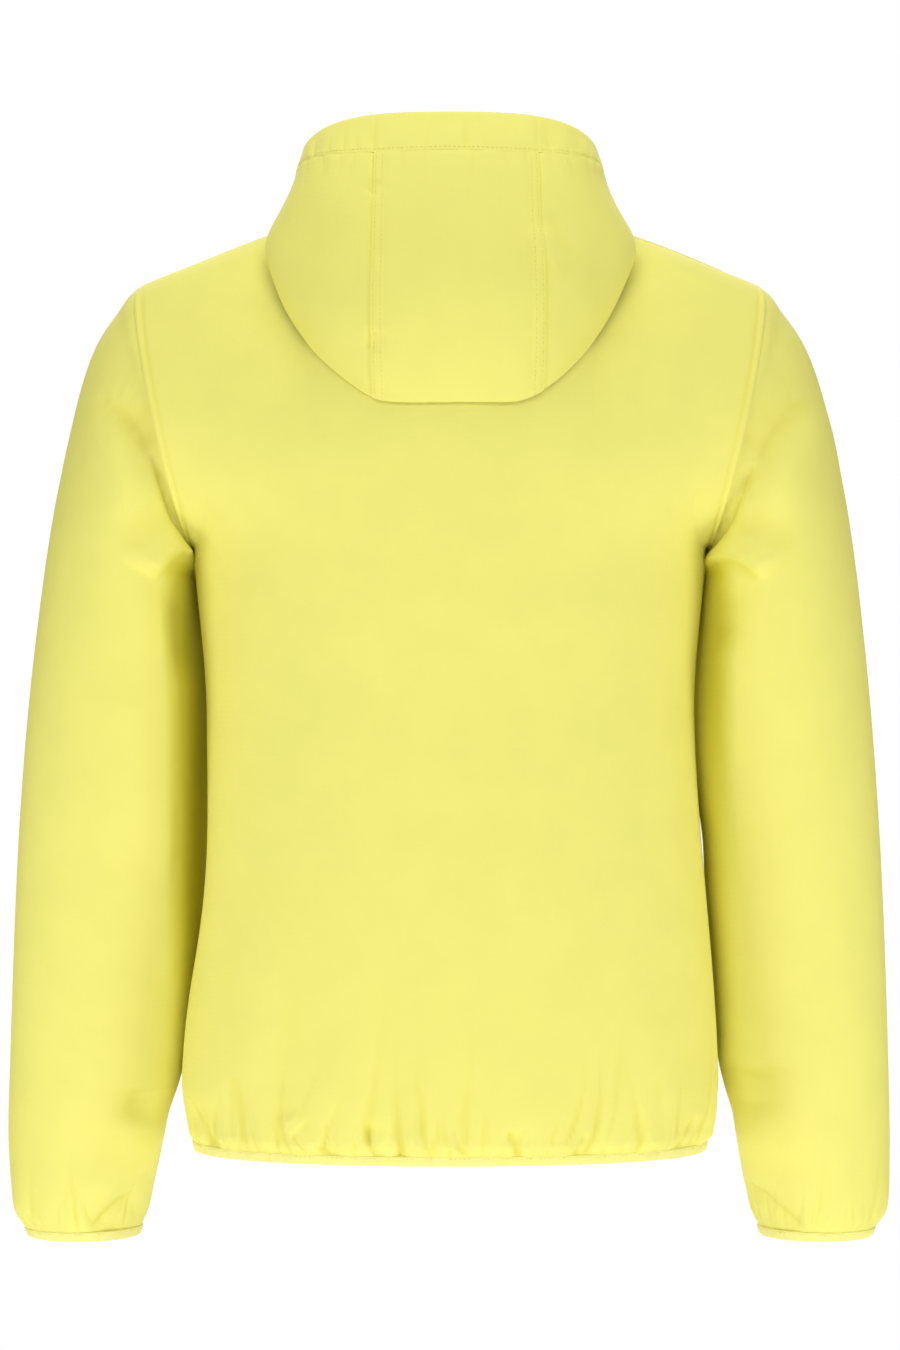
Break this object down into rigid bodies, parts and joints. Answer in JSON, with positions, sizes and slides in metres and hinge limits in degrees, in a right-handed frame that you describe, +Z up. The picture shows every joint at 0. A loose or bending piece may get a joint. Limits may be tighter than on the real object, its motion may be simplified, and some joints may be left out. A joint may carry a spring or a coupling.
{
  "type": "hooded softshell ski jacket",
  "caption": "Hooded ski jacket in light softshell, zipped to the chin with its hood lying down the back; elastic bound hem and cuffs, zipped hand pockets.",
  "frame": {"origin": "middle of the neck opening, at the height of the neck seam at the nape", "axes": "+Z up, -Y to the front of the jacket, +X to the wearer's left"},
  "size_m": [0.6586, 0.2821, 0.8281],
  "materials": {
    "shell_fabric": "matt, smooth woven face",
    "stretch_binding": "fine ribbed stretch tape",
    "lining_fabric": "brushed knit",
    "zip_tape": "woven tape",
    "zip_teeth": "moulded, satin",
    "zip_metal": "lacquered, satin"
  },
  "bodies": {
    "jacket": {"back_panel": "shell_fabric", "front_panel_left": "shell_fabric", "front_panel_right": "shell_fabric", "collar": "shell_fabric", "storm_flap": "shell_fabric", "chin_guard": "shell_fabric", "hood_underlap": "shell_fabric", "hem_binding": "stretch_binding", "hanger_loop": "stretch_binding", "collar_facing": "lining_fabric", "neck_tape": "lining_fabric", "neck_label": "lining_fabric", "pocket_bag_left": "lining_fabric", "pocket_bag_right": "lining_fabric", "zip_tape_left": "zip_tape", "zip_tape_right": "zip_tape", "pocket_tape_left": "zip_tape", "pocket_tape_right": "zip_tape", "zip_teeth_left": "zip_teeth", "zip_teeth_right": "zip_teeth", "zip_top_stop_left": "zip_teeth", "zip_top_stop_right": "zip_teeth", "zip_retainer_box": "zip_teeth", "zip_insertion_pin": "zip_teeth", "pocket_teeth_left": "zip_teeth", "pocket_teeth_right": "zip_teeth"},
    "hood": {"hood_centre_panel": "shell_fabric", "hood_side_panel_left": "shell_fabric", "hood_side_panel_right": "shell_fabric", "hood_rim_band": "shell_fabric", "hood_rim_elastic": "stretch_binding"},
    "left_sleeve": {"sleeve_left": "shell_fabric", "cuff_binding_left": "stretch_binding"},
    "right_sleeve": {"sleeve_right": "shell_fabric", "cuff_binding_right": "stretch_binding"},
    "front_slider": {"zip_slider": "zip_metal"},
    "front_pull": {"zip_pull": "zip_metal"},
    "left_pocket_slider": {"pocket_slider_left": "zip_metal"},
    "left_pocket_pull": {"pocket_pull_left": "zip_metal"},
    "right_pocket_slider": {"pocket_slider_right": "zip_metal"},
    "right_pocket_pull": {"pocket_pull_right": "zip_metal"}
  },
  "joints": [
    {"name": "hood_lift", "type": "hinge", "parent": "jacket", "child": "hood", "pos_m": [0, -0.005, 0.012], "axis": [1, 0, 0], "range_deg": [0, 55]},
    {"name": "left_sleeve_swing", "type": "hinge", "parent": "jacket", "child": "left_sleeve", "pos_m": [0.2105, 0, -0.129], "axis": [-0.9792, 0, 0.2028], "range_deg": [-25, 70]},
    {"name": "right_sleeve_swing", "type": "hinge", "parent": "jacket", "child": "right_sleeve", "pos_m": [-0.2105, 0, -0.129], "axis": [-0.9792, 0, -0.2028], "range_deg": [-25, 70]},
    {"name": "front_zip_slide", "type": "slide", "parent": "jacket", "child": "front_slider", "axis": [0, -0.0442, -0.999], "range_m": [0, 0.645]},
    {"name": "front_pull_swing", "type": "hinge", "parent": "front_slider", "child": "front_pull", "pos_m": [0, -0.10173, -0.00394], "axis": [-1, 0, 0], "range_deg": [0, 150]},
    {"name": "left_pocket_zip_slide", "type": "slide", "parent": "jacket", "child": "left_pocket_slider", "axis": [0.1707, 0.0399, -0.9845], "range_m": [0, 0.1368]},
    {"name": "left_pocket_pull_swing", "type": "hinge", "parent": "left_pocket_slider", "child": "left_pocket_pull", "pos_m": [0.11822, -0.10196, -0.42375], "axis": [-0.8647, -0.473, -0.169], "range_deg": [0, 150]},
    {"name": "right_pocket_zip_slide", "type": "slide", "parent": "jacket", "child": "right_pocket_slider", "axis": [-0.1707, 0.0399, -0.9845], "range_m": [0, 0.1368]},
    {"name": "right_pocket_pull_swing", "type": "hinge", "parent": "right_pocket_slider", "child": "right_pocket_pull", "pos_m": [-0.11822, -0.10196, -0.42375], "axis": [-0.8647, 0.473, 0.169], "range_deg": [0, 150]}
  ]
}
